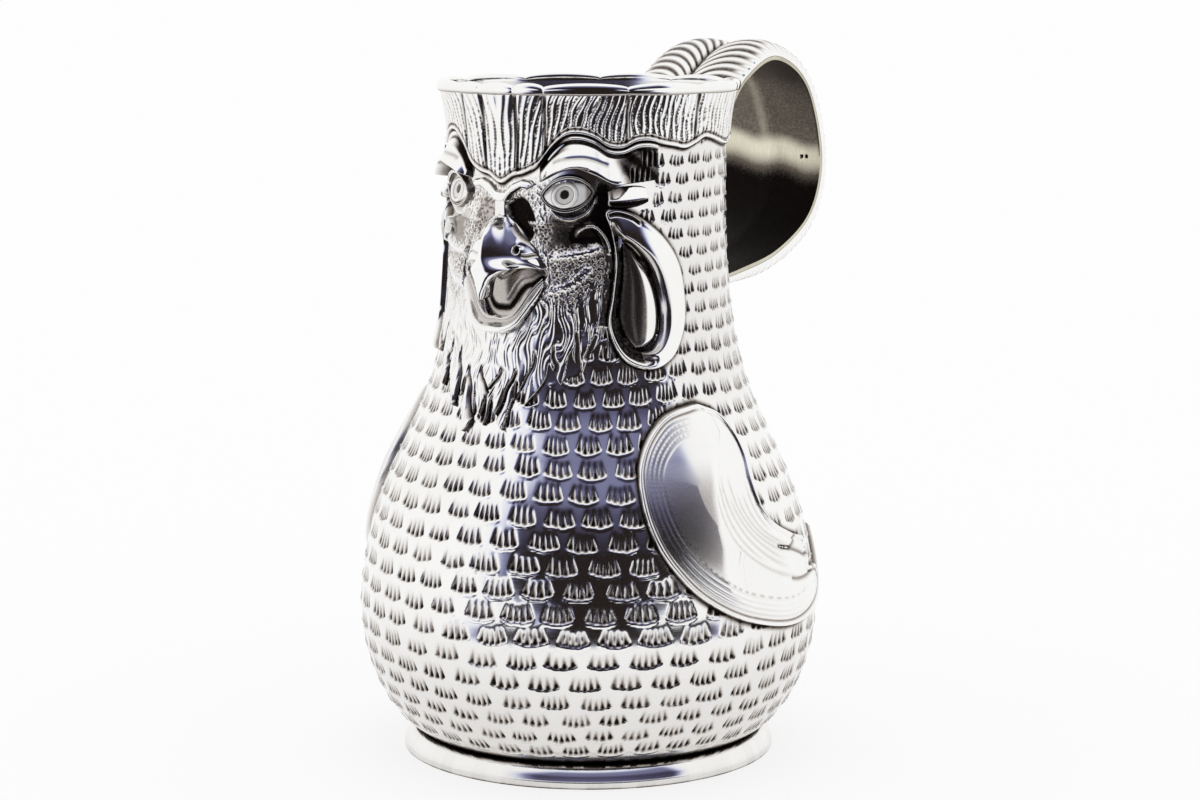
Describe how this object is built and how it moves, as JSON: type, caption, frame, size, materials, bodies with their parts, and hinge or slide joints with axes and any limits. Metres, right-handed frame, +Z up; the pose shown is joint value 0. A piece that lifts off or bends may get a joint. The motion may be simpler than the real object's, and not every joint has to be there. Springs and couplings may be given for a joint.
{
  "type": "wine jug",
  "caption": "Rooster-shaped silver wine jug: pear-shaped body with chased feathers, crested face on the neck, smooth wings, plain foot and a hollow tail handle.",
  "frame": {"origin": "middle of the foot's underside, on the table", "axes": "+Z up, -Y the way the bird's face looks, +Y towards the tail handle, +X the bird's left side"},
  "size_m": [0.142, 0.1765, 0.2109],
  "materials": {
    "chased_silver": "polished, chased, dark in the hollows",
    "polished_silver": "polished",
    "brushed_silver": "brushed and tarnished"
  },
  "bodies": {
    "root": {"body_shell": "chased_silver", "foot_ring": "polished_silver", "rim_lip": "polished_silver", "crest": "chased_silver", "brow_comb": "polished_silver", "eyelids_left": "polished_silver", "eyelids_right": "polished_silver", "eyeball_left": "polished_silver", "eyeball_right": "polished_silver", "ear_bar_left": "polished_silver", "ear_bar_right": "polished_silver", "upper_beak": "polished_silver", "lower_beak": "polished_silver", "cheek_left": "chased_silver", "cheek_right": "chased_silver", "beard": "chased_silver", "ear_lobe_left": "polished_silver", "ear_lobe_right": "polished_silver", "ear_leaf_left": "polished_silver", "ear_leaf_right": "polished_silver", "wing_left": "polished_silver", "wing_right": "polished_silver", "tail_shell": "chased_silver", "tail_plate": "brushed_silver"}
  },
  "joints": []
}
